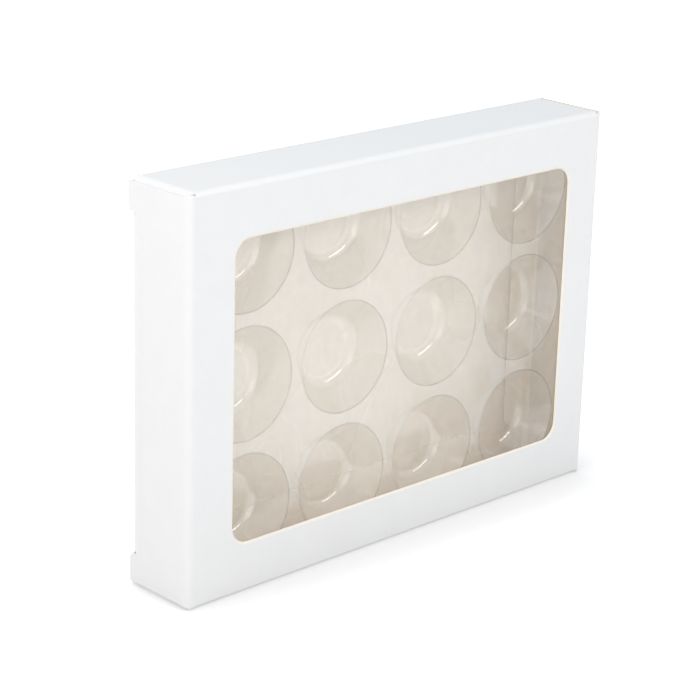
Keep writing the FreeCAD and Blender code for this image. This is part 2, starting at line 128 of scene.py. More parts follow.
# Details of the tray, as in the part's source
TRAY_WALL = 0.4 * MM
TRAY_FLARE = 1.7 * MM
TRAY_CORNER = 5.0 * MM
LAND_SIDE, LAND_TOP = 2.6 * MM, 0.8 * MM
CUP_COLUMNS, CUP_ROWS = 4, 3
CUP_LAND = 4.6 * MM
CUP_DEPTH = 10.5 * MM
CUP_SLOPE = math.radians(34)

# Rounding of the tray, where the part's source has bevels or sharp edges
TRAY_EDGE_ROUND = 0.9 * MM
RIM_ROUND, RIM_FLAT = 0.55 * MM, 0.5 * MM
CUP_BEND = 4.5 * MM
# Share of a cup's floor that is one flat face in its middle
CUP_MIDDLE = 0.5

# Steps of the meshes
FOLD_STEPS, CORNER_STEPS = 8, 8
ROUND_STEPS, BEND_STEPS, CUP_STEPS = 6, 10, 72
PANEL_STEP = 7.0 * MM
CUT_TOLERANCE = 1e-7
SMOOTH_ANGLE = math.radians(32)

# Material slots of the board pieces, whose fold slot carries a painted highlight, and of the tray
OUTSIDE, INSIDE, EDGE, FOLD_HIGHLIGHT = range(4)
WEB, RIM, CUP, BEND = range(4)

# Noises of the materials
NOISE_MIDDLE = (0.3, 0.7)
MOTTLE_DETAIL = 4.0
FIBRE_DETAIL, FIBRE_STRETCH, FIBRE_SHARE = 5.0, (1.0, 1.0, 0.45), 0.5
RIPPLE_DETAIL = 1.0
HAZE_DETAIL, HAZE_CLOUD, HAZE_STREAK = 4.0, 9.0 * MM, (1.0, 1.0, 0.6)

# Clear plastic: how steeply its tint and its mirroring grow towards a grazing angle, and its haze
FACING_BLEND = 0.5
TINT_POWER, MIRROR_POWER = 4.0, 5.0
HAZE_COLOUR = (0.95, 0.95, 0.95)
TRAY_BODY, TRAY_GRAZING = (0.998, 0.998, 0.997), (0.95, 0.95, 0.945)

# Clear faces that a ray may pass on its way through the film and the tray, in and out again
CLEAR_LAYERS = 32
# Times that light is passed on between the pale boards inside the carton
INSIDE_BOUNCES = 12

# Floor: its size, how far it lies under the object, its colour and the grain of its paper
FLOOR_SIZE, FLOOR_DROP = 4.0, 0.1 * MM
FLOOR_COLOUR, FLOOR_TONE = (0.81, 0.81, 0.81), 0.01
FLOOR_GRAIN, GRAIN_DETAIL = 40 * MM, 3.0
# Where the floor fades to white, and what it adds for the camera near the object and far from it
FLOOR_FADE, FLOOR_GLOW = (0.15, 0.7), (0.42, 0.75)
# The painted shadow at the object's foot, which darkens the floor's colour and glow: reach, lean, samples,
# the openness that it is drawn from and its depth
CONTACT_REACH = 24 * MM
CONTACT_LEAN = Vector((-0.08, 0.45, 0.89)).normalized()
CONTACT_SAMPLES = 8
CONTACT_RANGE, CONTACT_SHADE = (0.5, 1.0), 0.79

# Camera of the photograph
CAMERA_AT = Vector((-0.4921, -0.4968, 0.2986))
CAMERA_AZIMUTH = math.radians(-44.0424)
CAMERA_ELEVATION = math.radians(18.744)
CAMERA_ROLL = math.radians(1.6731)
CAMERA_LENS, CAMERA_SENSOR = 115.57, 36
CAMERA_CLIP = 0.01


def add_object(name, data):
    """An object in the scene."""
    item = bpy.data.objects.new(name, data)
    bpy.context.scene.collection.objects.link(item)
    return item


# Materials
def new_material(name):
    """A node material with an empty tree, its output and a coordinate node in metres."""
    material = bpy.data.materials.new(name)
    material.use_nodes = True
    tree = material.node_tree
    tree.nodes.clear()
    output = tree.nodes.new("ShaderNodeOutputMaterial")
    where = tree.nodes.new("ShaderNodeTexCoord").outputs["Object"]
    return material, tree, output, where


def noise(tree, where, size, detail, stretch=None):
    """A noise whose features are about as large as size."""
    if stretch:
        mapping = tree.nodes.new("ShaderNodeMapping")
        mapping.inputs["Scale"].default_value = stretch
        tree.links.new(where, mapping.inputs["Vector"])
        where = mapping.outputs["Vector"]
    node = tree.nodes.new("ShaderNodeTexNoise")
    node.inputs["Scale"].default_value = 1 / size
    node.inputs["Detail"].default_value = detail
    tree.links.new(where, node.inputs["Vector"])
    return node.outputs["Fac"]


def map_range(tree, value, source, target, smooth=False):
    """Maps a value from the range source to the range target, and holds it there."""
    node = tree.nodes.new("ShaderNodeMapRange")
    if smooth:
        node.interpolation_type = "SMOOTHSTEP"
    for name, limit in zip(("From Min", "From Max", "To Min", "To Max"), (*source, *target)):
        node.inputs[name].default_value = limit
    tree.links.new(value, node.inputs["Value"])
    return node.outputs["Result"]


def mix_colours(tree, factor, low, high):
    """A colour between low and high, by a factor from 0 to 1."""
    node = tree.nodes.new("ShaderNodeMix")
    node.data_type = "RGBA"
    node.inputs["A"].default_value = (*low, 1)
    node.inputs["B"].default_value = (*high, 1)
    tree.links.new(factor, node.inputs["Factor"])
    return node.outputs["Result"]


def tint(tree, value, low, high):
    """A colour between low and high, by a noise's middle range."""
    return mix_colours(tree, map_range(tree, value, NOISE_MIDDLE, (0, 1)), low, high)


def mix_shaders(tree, factor, first, second):
    """Two shaders, mixed by a factor from 0 to 1."""
    node = tree.nodes.new("ShaderNodeMixShader")
    for socket, link in zip(node.inputs, (factor, first, second)):
        tree.links.new(link, socket)
    return node.outputs["Shader"]


def math_node(tree, operation, *values):
    """A math node, with a number or a socket on each input."""
    node = tree.nodes.new("ShaderNodeMath")
    node.operation = operation
    for socket, value in zip(node.inputs, values):
        if isinstance(value, (int, float)):
            socket.default_value = value
        else:
            tree.links.new(value, socket)
    return node.outputs["Value"]


def bump(tree, height, distance):
    """A bump from a height between 0 and 1."""
    node = tree.nodes.new("ShaderNodeBump")
    node.inputs["Distance"].default_value = distance
    tree.links.new(height, node.inputs["Height"])
    return node.outputs["Normal"]


def board_material(name, low, high, rough, mottle, fibre, relief, specular):
    """Paperboard: a mottled colour, fibres as bump and a roughness that varies with the mottling.

    mottle and fibre are the sizes of its clouds and of its fibres, and relief is the fibres' height.
    """
    material, tree, output, where = new_material(name)
    shader = tree.nodes.new("ShaderNodeBsdfPrincipled")
    shader.inputs["Specular IOR Level"].default_value = specular
    clouds = noise(tree, where, mottle, MOTTLE_DETAIL)
    fibres = noise(tree, where, fibre, FIBRE_DETAIL, FIBRE_STRETCH)
    cloud_share = math_node(tree, "MULTIPLY", clouds, 1 - FIBRE_SHARE)
    mixed = math_node(tree, "MULTIPLY_ADD", fibres, FIBRE_SHARE, cloud_share)
    roughness = map_range(tree, clouds, NOISE_MIDDLE, rough)
    tree.links.new(tint(tree, mixed, low, high), shader.inputs["Base Color"])
    tree.links.new(roughness, shader.inputs["Roughness"])
    tree.links.new(bump(tree, fibres, relief), shader.inputs["Normal"])
    tree.links.new(shader.outputs["BSDF"], output.inputs["Surface"])
    return material


def clear_material(name, body, edge, rough, wave, relief, mirror, haze):
    """Clear plastic: it tints what lies behind it, more so at a grazing angle, and mirrors by that angle.

    body and edge are its tints from the front and at a grazing angle. wave and relief are the size and
    the height of its ripples. mirror is its share of mirroring from the front, and what a grazing angle
    adds. haze is the least and the greatest share of light that its cloudy surface scatters.
    """
    material, tree, output, where = new_material(name)
    facing = tree.nodes.new("ShaderNodeLayerWeight")
    facing.inputs["Blend"].default_value = FACING_BLEND
    grazing = facing.outputs["Facing"]
    ripples = noise(tree, where, wave, RIPPLE_DETAIL)
    clear = tree.nodes.new("ShaderNodeBsdfTransparent")
    fade = math_node(tree, "POWER", grazing, TINT_POWER)
    tree.links.new(mix_colours(tree, fade, body, edge), clear.inputs["Color"])
    gloss = tree.nodes.new("ShaderNodeBsdfGlossy")
    gloss.inputs["Color"].default_value = (*WHITE, 1)
    roughness = map_range(tree, ripples, NOISE_MIDDLE, rough)
    tree.links.new(roughness, gloss.inputs["Roughness"])
    tree.links.new(bump(tree, ripples, relief), gloss.inputs["Normal"])
    steep = math_node(tree, "POWER", grazing, MIRROR_POWER)
    mirroring = math_node(tree, "MULTIPLY_ADD", steep, mirror[1], mirror[0])
    shiny = mix_shaders(tree, mirroring, clear.outputs["BSDF"], gloss.outputs["BSDF"])
    milky = tree.nodes.new("ShaderNodeBsdfDiffuse")
    milky.inputs["Color"].default_value = (*HAZE_COLOUR, 1)
    clouds = noise(tree, where, HAZE_CLOUD, HAZE_DETAIL, HAZE_STREAK)
    hazy = map_range(tree, clouds, NOISE_MIDDLE, haze)
    cloudy = mix_shaders(tree, hazy, shiny, milky.outputs["BSDF"])
    tree.links.new(cloudy, output.inputs["Surface"])
    return material


COATED = board_material(
    "coated_board", low=(0.86, 0.862, 0.865), high=(0.89, 0.892, 0.895), rough=(0.36, 0.5),
    mottle=9 * MM, fibre=0.6 * MM, relief=0.004 * MM, specular=0.4,
)
UNCOATED = board_material(
    "uncoated_board", low=(0.845, 0.765, 0.645), high=(0.905, 0.835, 0.725), rough=(0.8, 0.95),
    mottle=5 * MM, fibre=0.5 * MM, relief=0.02 * MM, specular=0.15,
)
# Coated board on the folds, paler and glossier than on the panels: a painted highlight along the folds
FOLD_PAINTED_HIGHLIGHT = board_material(
    "coated_board_fold_painted_highlight", low=(0.895, 0.897, 0.90), high=(0.92, 0.922, 0.925), rough=(0.36, 0.5),
    mottle=4 * MM, fibre=0.6 * MM, relief=0.006 * MM, specular=0.5,
)
CUT_EDGE = board_material(
    "cut_board_edge", low=(0.92, 0.86, 0.755), high=(0.985, 0.945, 0.865), rough=(0.85, 0.95),
    mottle=1.2 * MM, fibre=0.3 * MM, relief=0.03 * MM, specular=0.1,
)
GLUE = board_material(
    "dried_glue", low=(0.72, 0.68, 0.58), high=(0.82, 0.79, 0.70), rough=(0.3, 0.5),
    mottle=4 * MM, fibre=1.0 * MM, relief=0.03 * MM, specular=0.5,
)
TRAY_WEB = clear_material(
    "tray_web", body=TRAY_BODY, edge=TRAY_GRAZING, rough=(0.15, 0.25),
    wave=16 * MM, relief=0.2 * MM, mirror=(0.055, 0.35), haze=(0.0, 0.11),
)
TRAY_CUP = clear_material(
    "tray_cup", body=TRAY_BODY, edge=TRAY_GRAZING, rough=(0.05, 0.1),
    wave=12 * MM, relief=0.2 * MM, mirror=(0.045, 0.3), haze=(0.0, 0.11),
)
TRAY_BEND = clear_material(
    "tray_bend", body=TRAY_BODY, edge=TRAY_GRAZING, rough=(0.05, 0.1),
    wave=12 * MM, relief=0.2 * MM, mirror=(0.07, 0.3), haze=(0.0, 0.04),
)
# The rims of the cups: a darker tint than the rest of the tray, painted shade for the dark line round each
# rim
TRAY_RIM_PAINTED_SHADE = clear_material(
    "tray_rim_painted_shade", body=(0.79, 0.79, 0.78), edge=(0.66, 0.66, 0.65), rough=(0.1, 0.16),
    wave=6 * MM, relief=0.1 * MM, mirror=(0.05, 0.5), haze=(0.0, 0.03),
)
FILM_CLEAR = clear_material(
    "film_clear", body=(0.999, 0.999, 0.998), edge=(0.98, 0.98, 0.98), rough=(0.22, 0.3),
    wave=30 * MM, relief=0.4 * MM, mirror=(0.075, 0.4), haze=(0.0, 0.02),
)
# Materials by slot: outside, inside, edge and fold, and for the tray web, rim, cup and bend. The paler board
# on the folds is a painted highlight
BOARD_SLOTS = [COATED, UNCOATED, CUT_EDGE, FOLD_PAINTED_HIGHLIGHT]
TUCKED_SLOTS = [COATED, UNCOATED, UNCOATED, FOLD_PAINTED_HIGHLIGHT]
END_SLOTS = [COATED, UNCOATED, COATED, FOLD_PAINTED_HIGHLIGHT]
CLOSURE_SLOTS = [COATED, UNCOATED, COATED, COATED]
TRAY_SLOTS = [TRAY_WEB, TRAY_RIM_PAINTED_SHADE, TRAY_CUP, TRAY_BEND]


# Folded board
Run = namedtuple("Run", "length turn")
# A cross-section along the board's outer face. side is 1 where the board lies left of it, else -1.
Path = namedtuple("Path", "start heading side runs")


def arc(turn, radius=FOLD):
    """A fold by turn. With both negative, it turns the other way."""
    return Run(radius * turn, turn)


def run(length):
    """A straight run."""
    return Run(length, 0.0)


def fold_point(path, s, depth):
    """The point at s along a path, depth below its outer face, as a complex number."""
    point, heading, side, runs = path
    for index, (length, turn) in enumerate(runs):
        inward = side * 1j * heading
        last = index == len(runs) - 1
        if s <= length or last:
            if not turn:
                return point + heading * s + inward * depth
            radius = length / turn
            spin = cmath.exp(side * 1j * turn * s / length)
            return point + inward * radius + inward * (depth - radius) * spin
        if turn:
            radius = length / turn
            spin = cmath.exp(side * 1j * turn)
            point = point + inward * radius - inward * radius * spin
            heading *= spin
        else:
            point += heading * length
        s -= length


def fold_cuts(path):
    """The places along a path where the sheet needs a new row of faces."""
    cuts, here = [], 0.0
    for length, turn in path.runs:
        steps = FOLD_STEPS if turn else max(1, round(length / PANEL_STEP))
        cuts += [here + length * step / steps for step in range(steps + 1)]
        here += length
    return cuts


def on_fold(path, s):
    """Whether s lies on one of the path's folds."""
    here = 0.0
    for length, turn in path.runs:
        if turn and here < s < here + length:
            return True
        here += length
    return False


def quarter(centre, radius, start):
    """A rounded corner of an outline, from the angle start, a quarter turn anticlockwise."""
    angles = [start + QUARTER_TURN * step / CORNER_STEPS for step in range(CORNER_STEPS + 1)]
    return [(centre[0] + radius * math.cos(a), centre[1] + radius * math.sin(a)) for a in angles]


def rounded_rectangle(low, high, radius):
    """The outline of a rectangle with rounded corners, anticlockwise."""
    inner_low = (low[0] + radius, low[1] + radius)
    inner_high = (high[0] - radius, high[1] - radius)
    return (
        quarter(inner_high, radius, 0)
        + quarter((inner_low[0], inner_high[1]), radius, QUARTER_TURN)
        + quarter(inner_low, radius, 2 * QUARTER_TURN)
        + quarter((inner_high[0], inner_low[1]), radius, 3 * QUARTER_TURN)
    )


def rectangle(low, high):
    """The outline of a plain rectangle."""
    return [(low[0], low[1]), (high[0], low[1]), (high[0], high[1]), (low[0], high[1])]


def flat_sheet(loops, cuts_s, cuts_t):
    """A flat mesh inside the first loop and outside the others, cut along lines of constant s and t."""
    flat = bmesh.new()
    for loop in loops:
        verts = [flat.verts.new((s, t, 0)) for s, t in loop]
        for first, second in zip(verts, verts[1:] + verts[:1]):
            flat.edges.new((first, second))
    bmesh.ops.triangle_fill(flat, use_beauty=True, use_dissolve=False, edges=flat.edges[:])
    for axis, cuts in ((Vector((1, 0, 0)), cuts_s), (Vector((0, 1, 0)), cuts_t)):
        for cut in cuts:
            bmesh.ops.bisect_plane(
                flat, geom=flat.verts[:] + flat.edges[:] + flat.faces[:],
                dist=CUT_TOLERANCE, plane_co=axis * cut, plane_no=axis,
            )
    return flat


def finish_mesh(name, mesh_data, slots):
    """Makes an object of a bmesh, with smooth faces and sharp edges where the mesh turns sharply."""
    mesh = bpy.data.meshes.new(name)
    mesh_data.to_mesh(mesh)
    mesh_data.free()
    for slot in slots:
        mesh.materials.append(slot)
    mesh.polygons.foreach_set("use_smooth", [True] * len(mesh.polygons))
    mesh.set_sharp_from_angle(angle=SMOOTH_ANGLE)
    return add_object(name, mesh)


def board_piece(name, node, loops, path, place, swell=None, slots=BOARD_SLOTS, slant=None):
    """A piece of board: coated outside, plain inside and with an edge all round.

    place maps a point of the cross-section and t to space. swell says how far the board stands out at
    s, t. slant gives the place on the inside of the board for a point s, t of a cut edge.
    """
    ts = [t for _, t in loops[0]]
    low, width = min(ts), max(ts) - min(ts)
    steps = max(1, round(width / PANEL_STEP))
    cuts_t = [low + width * step / steps for step in range(1, steps)] if swell else []
    flat = flat_sheet(loops, fold_cuts(path), cuts_t)
    solid = bmesh.new()
    layers = []
    for depth in (0.0, BOARD):
        layer = {}
        for vert in flat.verts:
            s, t, _ = vert.co
            if slant and depth and vert.is_boundary:
                s, t = slant(s, t)
            out = swell(s, t) if swell else 0.0
            layer[vert] = solid.verts.new(place(fold_point(path, s, depth - out), t))
        layers.append(layer)
    for face in flat.faces:
        # Faces on a fold take the fold slot, which holds the painted highlight where a piece's slots give it
        outside = FOLD_HIGHLIGHT if on_fold(path, face.calc_center_median().x) else OUTSIDE
        for slot, layer in zip((outside, INSIDE), layers):
            solid.faces.new([layer[vert] for vert in face.verts]).material_index = slot
    for edge in flat.edges:
        if len(edge.link_faces) == 1:
            first, second = edge.verts
            rim = (layers[0][first], layers[0][second], layers[1][second], layers[1][first])
            solid.faces.new(rim).material_index = EDGE
    flat.free()
    bmesh.ops.recalc_face_normals(solid, faces=solid.faces[:])
    piece = finish_mesh(name, solid, slots)
    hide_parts(node)
    return piece


def across_x(point, t):
    """A cross-section in Y and Z, with the creases along X."""
    return Vector((t, point.real, point.imag))


def up_z(side):
    """A cross-section in X and Y, with the creases along Z. side is -1 at the left end and 1 at the right."""
    return lambda point, t: Vector((side * point.real, point.imag, t))


def dome(low, high, height):
    """A gentle swelling of a panel, which is nothing along the panel's edges."""
    def rise(s, t):
        shares = [(value - a) / (b - a) for value, a, b in zip((s, t), low, high)]
        return height * math.prod(math.sin(math.pi * min(max(share, 0), 1)) for share in shares)
    return rise


# Panels of the tube
def front_panel():
    """The window panel."""
    height, reach = TOP - 2 * FOLD, HALF - FOLD
    path = Path(complex(FRONT, FOLD), 1j, -1, [run(height)])
    low = (FILM_LOW.z + FILM_LAP - FOLD, FILM_LOW.x + FILM_LAP)
    high = (FILM_HIGH.z - FILM_LAP - FOLD, FILM_HIGH.x - FILM_LAP)
    window = rounded_rectangle(
        [value - WINDOW_SLANT for value in low], [value + WINDOW_SLANT for value in high],
        WINDOW_CORNER + WINDOW_SLANT,
    )

    def slant(s, t):
        """Moves a point of the window's edge in by the slant, and leaves the panel's own edge."""
        if s < PANEL_STEP or s > height - PANEL_STEP or abs(t) > reach - PANEL_STEP:
            return s, t
        inner = [
            min(max(value, a + WINDOW_CORNER), b - WINDOW_CORNER)
            for value, a, b in zip((s, t), low, high)
        ]
        away = Vector((s - inner[0], t - inner[1]))
        moved = away * (1 - WINDOW_SLANT / away.length)
        return inner[0] + moved.x, inner[1] + moved.y

    sheet = rectangle((0, -reach), (height, reach))
    return board_piece("window_panel_board", "front_panel", [sheet, window], path, across_x, slant=slant)


def tabbed(length, reach):
    """The outline of a panel whose folds reach past its ends, as far as the window panel does."""
    tab = FOLD * QUARTER_TURN * FOLD_TAB
    wide = HALF - FOLD
    right = [(0, wide), (tab, wide), (tab, reach)]
    right += [(length - tab, reach), (length - tab, wide), (length, wide)]
    return right + [(s, -t) for s, t in reversed(right)]


def top_panel():
    """The top panel with its front and back folds."""
    runs = [arc(QUARTER_TURN), run(BACK - FRONT - 2 * FOLD), arc(QUARTER_TURN)]
    path = Path(complex(FRONT, TOP - FOLD), 1j, -1, runs)
    length = sum(each.length for each in runs)
    reach = DUST_FACE - FOLD
    swell = dome((runs[0].length, -reach), (length - runs[2].length, reach), -SWELL)
    return board_piece("top_board", "top_panel", [tabbed(length, reach)], path, across_x, swell)


def bottom_panel():
    """The bottom panel with its front fold and the fold to the glue flap."""
    runs = [arc(QUARTER_TURN), run(GLUE_HIGH.y - FRONT - 2 * FOLD), arc(QUARTER_TURN)]
    path = Path(complex(FRONT, FOLD), -1j, 1, runs)
    sheet = tabbed(sum(each.length for each in runs), DUST_FACE - FOLD)
    return board_piece("bottom_board", "bottom_panel", [sheet], path, across_x)


def glue_flap():
    """The glue flap inside the foot of the back panel, with slanted ends."""
    height = GLUE_HIGH.z - FOLD
    path = Path(complex(GLUE_HIGH.y, FOLD), 1j, 1, [run(height)])
    long_end = GLUE_HIGH.x - (FOLD - GLUE_LOW.z)
    short_end = long_end - height
    sheet = [(0, -long_end), (0, long_end), (height, short_end), (height, -short_end)]
    return board_piece("glue_flap_board", "glue_flap", [sheet], path, across_x, slots=TUCKED_SLOTS)


def back_panel():
    """The back panel, with its ends relieved between the locking ears."""
    start = TOP - FOLD
    path = Path(complex(BACK, start), -1j, -1, [run(start - BACK_LOW.z)])

    def side_edge(end):
        """One end of the panel, from its foot upwards. The slants lie behind the ears."""
        low, high = EAR_LOW - RELIEF_SLANT, EAR_HIGH + RELIEF_SLANT
        steps = [(BACK_LOW.z, 0), (low - RELIEF_SLANT, 0), (low, BACK_RELIEF[end])]
        steps += [(high, BACK_RELIEF[end]), (high + RELIEF_SLANT, 0), (start, 0)]
        return [(start - z, BACK_HIGH.x + END_BOW[end] - inset) for z, inset in steps]

    sheet = side_edge("right") + [(s, -t) for s, t in reversed(side_edge("left"))]
    reach = BACK_HIGH.x - BACK_RELIEF["left"]
    swell = dome((0, -reach), (start - BACK_LOW.z, reach), SWELL)
    return board_piece("back_board", "back_panel", [sheet], path, across_x, swell)


# End flaps
def closure(end, side):
    """An end panel with its crease to the window panel and its two locking ears."""
    radius, low = END_FOLD[end], CLOSURE_EDGE[end]
    lead = FOLD + END_BOW[end] - radius
    runs = [run(lead), arc(QUARTER_TURN, radius), run(BACK - FRONT - radius)]
    path = Path(complex(HALF - FOLD, FRONT), 1, 1, runs)
    bend = runs[0].length + runs[1].length
    crease = bend + TUCK_FACE - FOLD - (FRONT + radius)
    tip = bend + BACK - FRONT - radius
    low_edge = [(0, CLOSURE_ROOT), (bend / RISE_PART, min(CLOSURE_RISE, low)), (bend, low), (tip, low)]
    low_edge += quarter((tip - EAR_CORNER, EAR_LOW - EAR_CORNER), EAR_CORNER, 0)
    low_edge.append((crease, EAR_LOW))
    sheet = low_edge + [(s, TOP - t) for s, t in reversed(low_edge)]
    swell = dome((bend, low), (crease, TOP - low), SWELL)
    node = f"{end}_closure"
    piece = board_piece(f"{node}_board", node, [sheet], path, up_z(side), swell, CLOSURE_SLOTS)
    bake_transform(piece)


def tuck_flap(end, side):
    """A tuck flap: its crease on the closure, then a tongue that springs back against the back panel."""
    hinge = HINGES[f"{end}_tuck_hinge"]
    tongue = TUCK_LENGTH - (FOLD - (HALF - abs(hinge.x)))
    face = HALF + END_BOW[end]
    fold, curl = arc(QUARTER_TURN + TUCK_TILT), arc(-TUCK_SPRING, -TUCK_CURL)
    runs = [fold, run(TUCK_ROOT), curl, run(tongue - TUCK_ROOT - curl.length)]
    path = Path(complex(face, TUCK_FACE - FOLD), 1j, 1, runs)
    tip = fold.length + tongue
    low = quarter((tip - TUCK_CORNER, TUCK_LOW + TUCK_CORNER), TUCK_CORNER, 3 * QUARTER_TURN)
    high = [(s, TUCK_LOW + TUCK_HIGH - t) for s, t in reversed(low)]
    root, root_low, root_high = fold.length / 2, EAR_LOW + TUCK_SLIT, EAR_HIGH - TUCK_SLIT
    sheet = [(0, root_low), (root, root_low), (fold.length, TUCK_LOW)] + low + high
    sheet += [(fold.length, TUCK_HIGH), (root, root_high), (0, root_high)]
    piece = board_piece(
        f"{end}_tuck_board", f"{end}_tuck_flap", [sheet], path, up_z(side), slots=TUCKED_SLOTS
    )
    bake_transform(piece)


def dust_flap(end, side, level):
    """A side flap under a closure, with its slanted front edge and the step that the ear locks behind."""
    outer = HALF + END_BOW[end] - BOARD - LAP_GAP
    radius = outer - (DUST_FACE - FOLD)
    drop = TOP - radius - DUST_LOW.z
    fold = arc(QUARTER_TURN, radius)
    crease, tip = fold.length, fold.length + drop
    path = Path(complex(outer - radius, TOP), 1, -1, [fold, run(drop)])
    front, back = DUST_LOW.y + END_BOW[end], DUST_HIGH.y
    lock = crease + TOP - radius - (EAR_HIGH + LOCK_SLIT)
    stepped = back - DUST_STEP
    slant = front + DUST_TAPER * drop
    root, root_front, root_back = crease * DUST_ROOT, FRONT + FOLD_CORNER, BACK - FOLD_CORNER
    sheet = [(0, root_front), (root, root_front), (crease, front), (tip, slant)]
    sheet += quarter((tip - DUST_CORNER, stepped - DUST_CORNER), DUST_CORNER, 0)
    sheet += [(lock, stepped), (lock, back), (crease, back), (root, root_back), (0, root_back)]

    def place(point, t):
        height = point.imag if level == "top" else TOP - point.imag
        return Vector((side * point.real, t, height))

    node = f"{end}_{level}_dust_flap"
    piece = board_piece(f"{end}_{level}_dust_board", node, [sheet], path, place, slots=END_SLOTS)
    start = place(complex(outer - radius, TOP), 0)
    finish = place(complex(outer, TOP - radius), 0)
    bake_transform(piece)


# Formed tray
def bridge(mesh, rings):
    """Faces between rings of as many points each. Gives the faces row by row."""
    rows = []
    for first, second in zip(rings, rings[1:]):
        row = []
        for index in range(len(first)):
            after = (index + 1) % len(first)
            row.append(mesh.faces.new((first[index], first[after], second[after], second[index])))
        rows.append(row)
    return rows


def loop_edges(mesh, ring):
    """The edges round a ring."""
    edges = []
    for first, second in zip(ring, ring[1:] + ring[:1]):
        edges.append(mesh.edges.get((first, second)) or mesh.edges.new((first, second)))
    return edges


def tray_skirt(mesh):
    """The flared skirt and the rounded edge of the face. Gives the ring that the face fills."""
    face, edge = TRAY_LOW.y, TRAY_HIGH.y
    turn = QUARTER_TURN - math.atan2(TRAY_FLARE, edge - face)
    lead = TRAY_EDGE_ROUND * math.tan(turn / 2)
    sections = [(0.0, edge)]
    for step in range(ROUND_STEPS + 1):
        angle = turn * (1 - step / ROUND_STEPS)
        inset = TRAY_FLARE + lead - TRAY_EDGE_ROUND * math.sin(angle)
        sections.append((inset, face + TRAY_EDGE_ROUND * (1 - math.cos(angle))))
    sections.append((TRAY_FLARE + lead + RIM_FLAT, face))
    rings = []
    for inset, y in sections:
        low = (TRAY_LOW.x + inset, TRAY_LOW.z + inset)
        high = (TRAY_HIGH.x - inset, TRAY_HIGH.z - inset)
        outline = rounded_rectangle(low, high, max(TRAY_CORNER - inset, RIM_FLAT))
        rings.append([mesh.verts.new((x, y, z)) for x, z in outline])
    bridge(mesh, rings)
    return rings[-1]


def cup_profile(rim):
    """Radius and depth down a cup, from the face over the rounded rim to the floor."""
    turn = QUARTER_TURN - CUP_SLOPE
    lead = RIM_ROUND * math.tan(turn / 2)
    profile = [(rim + lead + RIM_FLAT, 0.0)]
    for step in range(ROUND_STEPS + 1):
        angle = turn * step / ROUND_STEPS
        profile.append((rim + lead - RIM_ROUND * math.sin(angle), RIM_ROUND * (1 - math.cos(angle))))
    floor = rim - CUP_DEPTH * math.tan(CUP_SLOPE) - CUP_BEND * math.tan(turn / 2)
    for step in range(BEND_STEPS + 1):
        angle = turn * (1 - step / BEND_STEPS)
        depth = CUP_DEPTH - CUP_BEND * (1 - math.cos(angle))
        profile.append((floor + CUP_BEND * math.sin(angle), depth))
    return profile + [(floor - RIM_FLAT, CUP_DEPTH), (floor * CUP_MIDDLE, CUP_DEPTH)]


def cup(mesh, profile, x, z):
    """One sunk cup of the tray. Gives the ring where it leaves the face."""
    angles = [2 * math.pi * step / CUP_STEPS for step in range(CUP_STEPS)]
    rings = []
    for radius, depth in profile:
        y = TRAY_LOW.y + depth
        ring = [(x + radius * math.cos(a), y, z + radius * math.sin(a)) for a in angles]
        rings.append([mesh.verts.new(point) for point in ring])
    row_slots = [WEB] + [RIM] * ROUND_STEPS + [CUP] + [BEND] * BEND_STEPS + [CUP, CUP]
    for slot, faces in zip(row_slots, bridge(mesh, rings)):
        for each in faces:
            each.material_index = slot
    mesh.faces.new(rings[-1]).material_index = CUP
    return rings[0]


def tray():
    """The clear tray: a flared skirt, a face with rounded edges and twelve sunk cups, as a thin shell."""
    mesh = bmesh.new()
    borders = loop_edges(mesh, tray_skirt(mesh))
    pitch_x = (TRAY_HIGH.x - TRAY_LOW.x - 2 * (TRAY_FLARE + LAND_SIDE)) / CUP_COLUMNS
    pitch_z = (TRAY_HIGH.z - TRAY_LOW.z - 2 * (TRAY_FLARE + LAND_TOP)) / CUP_ROWS
    profile = cup_profile((min(pitch_x, pitch_z) - CUP_LAND) / 2)
    middle_x, middle_z = (TRAY_LOW.x + TRAY_HIGH.x) / 2, (TRAY_LOW.z + TRAY_HIGH.z) / 2
    for column in range(CUP_COLUMNS):
        for row in range(CUP_ROWS):
            x = middle_x + (column - (CUP_COLUMNS - 1) / 2) * pitch_x
            z = middle_z + (row - (CUP_ROWS - 1) / 2) * pitch_z
            borders += loop_edges(mesh, cup(mesh, profile, x, z))
    bmesh.ops.triangle_fill(
        mesh, use_beauty=True, use_dissolve=False, edges=borders, normal=(0, -1, 0)
    )
    bmesh.ops.recalc_face_normals(mesh, faces=mesh.faces[:])
    forward = max(mesh.faces, key=lambda each: each.calc_area())
    if forward.normal.y > 0:
        bmesh.ops.reverse_faces(mesh, faces=mesh.faces[:])
    piece = finish_mesh("formed_tray", mesh, TRAY_SLOTS)
    skin = piece.modifiers.new("skin", "SOLIDIFY")
    skin.thickness = TRAY_WALL
    skin.offset = -1
    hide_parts("insert_tray")
    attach(piece, "carton")


for tube_piece in (front_panel(), top_panel(), bottom_panel(), glue_flap(), back_panel()):
    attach(tube_piece, "carton")
for end_name, end_side in (("left", -1), ("right", 1)):
    closure(end_name, end_side)
    tuck_flap(end_name, end_side)
    for level_name in ("top", "bottom"):
        dust_flap(end_name, end_side, level_name)
tray()
for node_name, look in (("window_film", FILM_CLEAR), ("window_adhesive", GLUE), ("seam_adhesive", GLUE)):
    node_mesh = frame["nodes"][node_name].data
    node_mesh.materials.clear()
    node_mesh.materials.append(look)


# Studio
def white_to_camera(tree, lit):
    """A strength that is 1 for the rays that show the background, and lit for the light it gives."""
    path = tree.nodes.new("ShaderNodeLightPath")
    shown = math_node(tree, "MAXIMUM", path.outputs["Is Camera Ray"], path.outputs["Is Glossy Ray"])
    shown = math_node(tree, "MAXIMUM", shown, path.outputs["Is Transmission Ray"])
    return map_range(tree, shown, (0, 1), (lit, 1))


